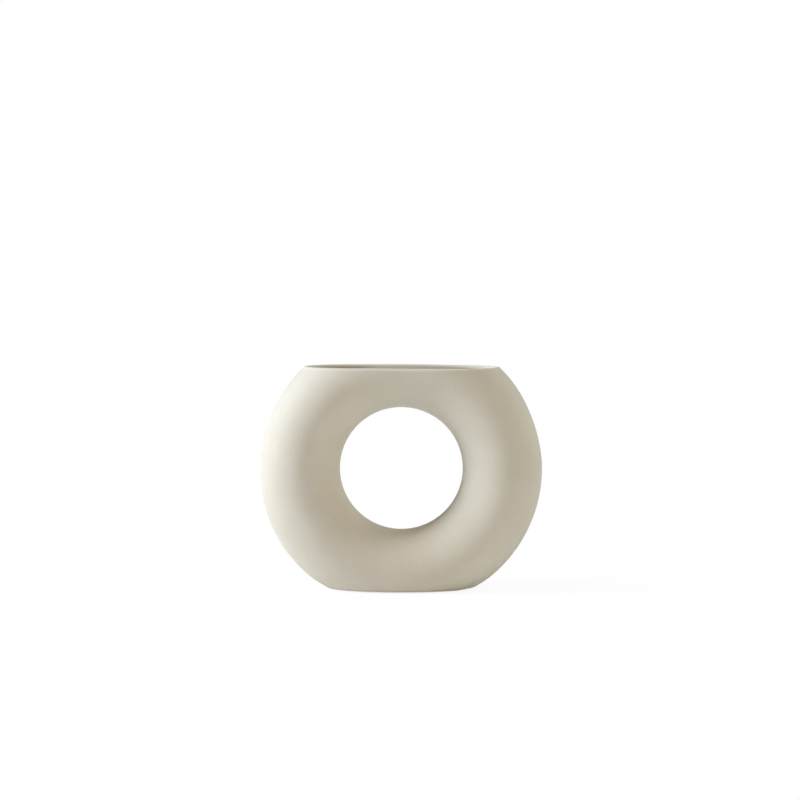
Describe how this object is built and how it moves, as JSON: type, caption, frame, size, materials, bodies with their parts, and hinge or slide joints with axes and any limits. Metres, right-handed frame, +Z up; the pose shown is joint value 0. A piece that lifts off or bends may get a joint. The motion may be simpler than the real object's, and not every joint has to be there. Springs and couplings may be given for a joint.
{
  "type": "vase",
  "caption": "Upright ring-shaped ceramic vase with an open centre hole, a hollow tube body, a long flat-cut mouth along the top, a glazed inside and a flat recessed foot on felt pads.",
  "frame": {"origin": "middle of the vase's plan, on the surface that its felt pads stand on", "axes": "+X across the ring, from its left to its right as seen from the front; +Y along the axis of the hole, from front to back; +Z up"},
  "size_m": [0.1999, 0.0564, 0.1584],
  "materials": {
    "stoneware": "matt, fine-grained",
    "inside_glaze": "gloss",
    "felt": "pressed felt"
  },
  "bodies": {
    "root": {"vase_body": "stoneware", "glaze_lining": "inside_glaze", "front_left_pad": "felt", "front_right_pad": "felt", "back_left_pad": "felt", "back_right_pad": "felt"}
  },
  "joints": []
}
